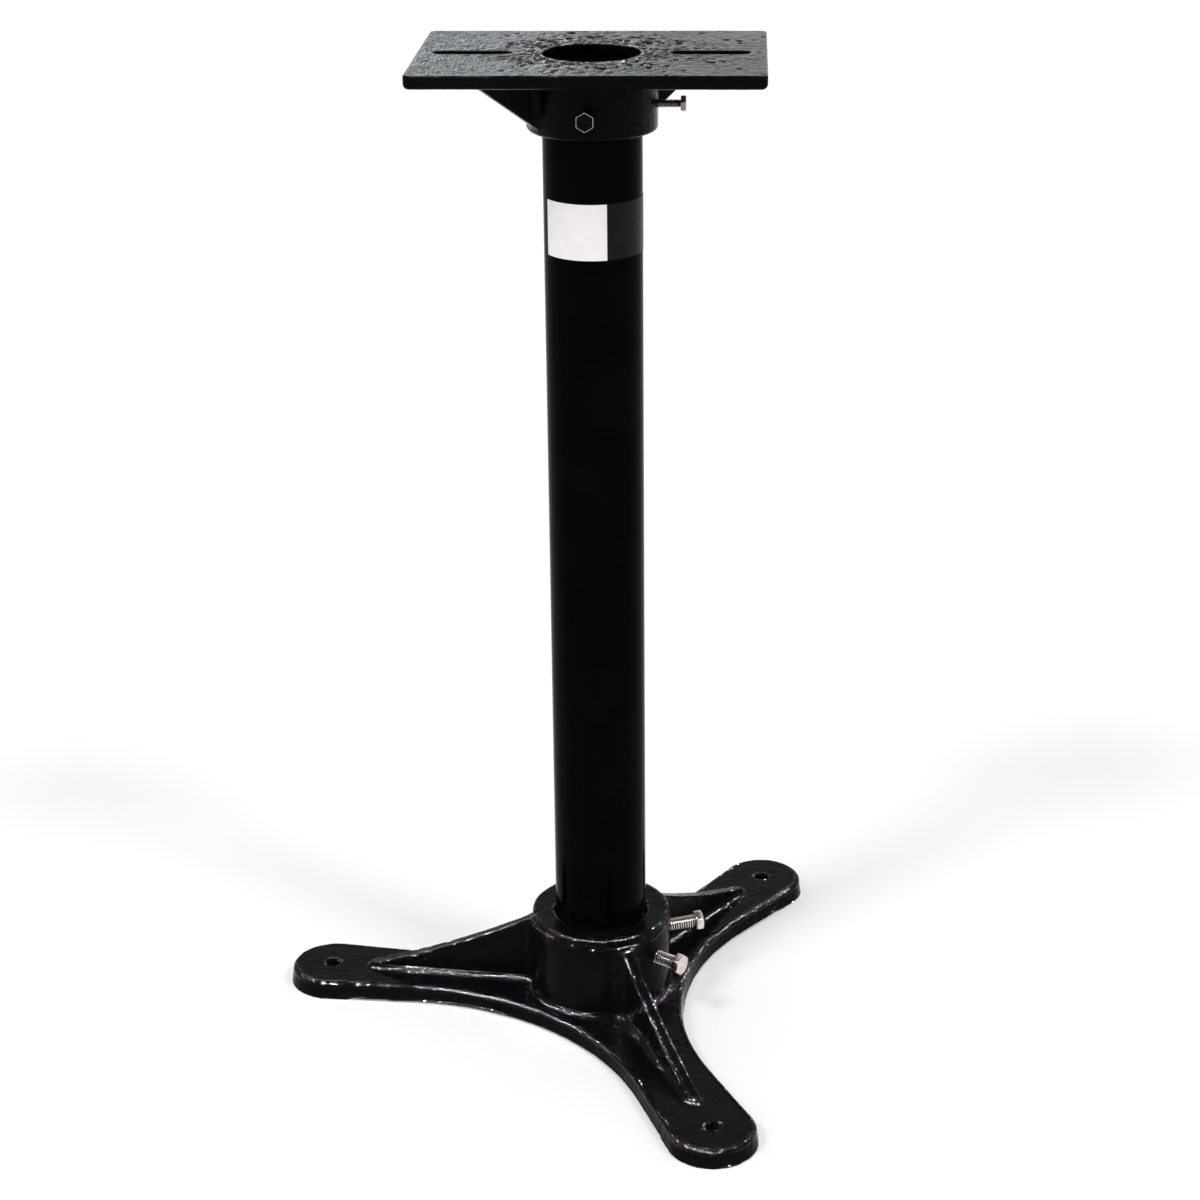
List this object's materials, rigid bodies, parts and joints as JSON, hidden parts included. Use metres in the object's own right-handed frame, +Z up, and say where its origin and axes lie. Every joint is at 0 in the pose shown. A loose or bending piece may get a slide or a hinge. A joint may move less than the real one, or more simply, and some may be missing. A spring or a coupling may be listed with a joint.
{
  "type": "bench grinder stand",
  "caption": "Pedestal stand: a cast tripod base carries a steel column, and a slotted table on top of it takes a bench grinder.",
  "frame": {"origin": "on the floor at the column's axis, the centre of the circle of floor bolts", "axes": "+Z up along the column, +X along the table's long side and its slots, -Y towards the table's front"},
  "size_m": [0.4475, 0.4824, 0.812],
  "materials": {
    "base_enamel": "gloss black enamel over a rough casting",
    "column_enamel": "gloss black enamel on drawn tube",
    "table_enamel": "gloss black enamel over a pitted casting",
    "plated_bolt": "bright zinc plate",
    "black_bolt": "black oxide",
    "label_film": "satin printed film"
  },
  "bodies": {
    "base": {"base_casting": "base_enamel"},
    "column": {"column_tube": "column_enamel", "column_label": "label_film"},
    "table": {"top_casting": "table_enamel"},
    "base_bolt_front_screw": {"base_bolt_front": "plated_bolt"},
    "base_bolt_rear_screw": {"base_bolt_rear": "plated_bolt"},
    "top_bolt_front_screw": {"top_bolt_front": "black_bolt"},
    "top_bolt_side_screw": {"top_bolt_side": "plated_bolt"}
  },
  "joints": [
    {"name": "column_height", "type": "slide", "parent": "base", "child": "column", "axis": [0, 0, 1], "range_m": [0, 0.04]},
    {"name": "table_swivel", "type": "hinge", "parent": "column", "child": "table", "pos_m": [0, 0, 0.8015], "axis": [0, 0, 1], "continuous": true},
    {"name": "base_bolt_front_travel", "type": "slide", "parent": "base", "child": "base_bolt_front_screw", "axis": [0.8425, -0.5388, 0], "range_m": [-0.007, 0.0117]},
    {"name": "base_bolt_rear_travel", "type": "slide", "parent": "base", "child": "base_bolt_rear_screw", "axis": [0.9311, 0.3649, 0], "range_m": [-0.0142, 0.0045]},
    {"name": "top_bolt_front_travel", "type": "slide", "parent": "table", "child": "top_bolt_front_screw", "axis": [-0.0227, -0.9997, 0], "range_m": [-0.001, 0.009]},
    {"name": "top_bolt_side_travel", "type": "slide", "parent": "table", "child": "top_bolt_side_screw", "axis": [1, 0, 0], "range_m": [-0.0028, 0.0072]}
  ]
}
